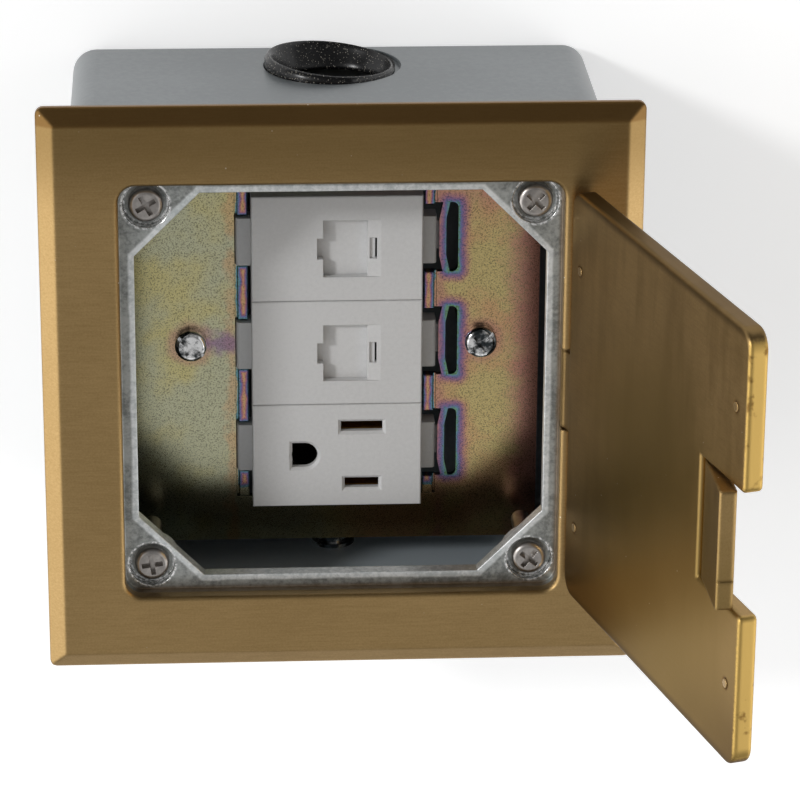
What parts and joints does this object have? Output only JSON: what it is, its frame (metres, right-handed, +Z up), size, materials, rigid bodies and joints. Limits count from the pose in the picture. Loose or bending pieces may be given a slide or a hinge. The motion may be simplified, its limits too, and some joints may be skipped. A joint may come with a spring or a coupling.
{
  "type": "floor socket box",
  "caption": "Square flush floor box with a bevelled brass plate, hinged lid with a cable flap, two shuttered data jacks and a mains receptacle in a steel back box.",
  "frame": {"origin": "centre of the trim plate's underside, at finished floor level", "axes": "+Z up out of the floor, +Y through the wall with the cable entry, +X towards the lid's hinge"},
  "size_m": [0.1325, 0.12, 0.1507],
  "materials": {
    "plate_brass": "brushed satin",
    "lid_brass": "brushed satin, tarnished inside",
    "stud_brass": "dull",
    "steel_pin": "ground",
    "zinc_frame": "zinc plated, mottled",
    "stainless_screws": "satin",
    "grey_box": "matte grey",
    "chromate_strap": "yellow chromate, iridescent",
    "zinc_screws": "bright zinc",
    "white_plastic": "fine matte, light warm grey",
    "core_plastic": "matte",
    "gold_wire": "gold plated",
    "contact_brass": "bright",
    "black_rubber": "glossy black"
  },
  "bodies": {
    "box": {"trim_plate": "plate_brass", "hinge_pin": "steel_pin", "clamp_frame": "zinc_frame", "frame_screws": "stainless_screws", "plate_screws": "stainless_screws", "back_box": "grey_box", "corner_lugs": "grey_box", "strap_posts": "grey_box", "mounting_strap": "chromate_strap", "strap_screws": "zinc_screws", "upper_jack_face": "white_plastic", "upper_jack_core": "core_plastic", "upper_jack_contacts": "gold_wire", "middle_jack_face": "white_plastic", "middle_jack_core": "core_plastic", "middle_jack_contacts": "gold_wire", "receptacle_face": "white_plastic", "receptacle_body": "core_plastic", "neutral_contact": "contact_brass", "line_contact": "contact_brass", "ground_contact": "contact_brass", "terminal_screws": "zinc_screws", "cable_grommet": "black_rubber", "earth_screw": "zinc_screws"},
    "lid": {"lid": "lid_brass", "lid_studs": "stud_brass", "flap_pin": "steel_pin"},
    "cable_flap": {"cable_flap": "lid_brass"},
    "upper_shutter": {"upper_shutter": "white_plastic"},
    "middle_shutter": {"middle_shutter": "white_plastic"}
  },
  "joints": [
    {"name": "lid_hinge", "type": "hinge", "parent": "box", "child": "lid", "pos_m": [0.0463, 0, 0.00105], "axis": [0, -1, 0], "range_deg": [0, 105.8]},
    {"name": "flap_hinge", "type": "hinge", "parent": "lid", "child": "cable_flap", "pos_m": [0.06597, 0, 0.07], "axis": [0, -1, 0], "range_deg": [-13.5, 76.5]},
    {"name": "upper_shutter_slide", "type": "slide", "parent": "box", "child": "upper_shutter", "axis": [-1, 0, 0], "range_m": [0, 0.0095]},
    {"name": "middle_shutter_slide", "type": "slide", "parent": "box", "child": "middle_shutter", "axis": [-1, 0, 0], "range_m": [0, 0.0095]}
  ]
}
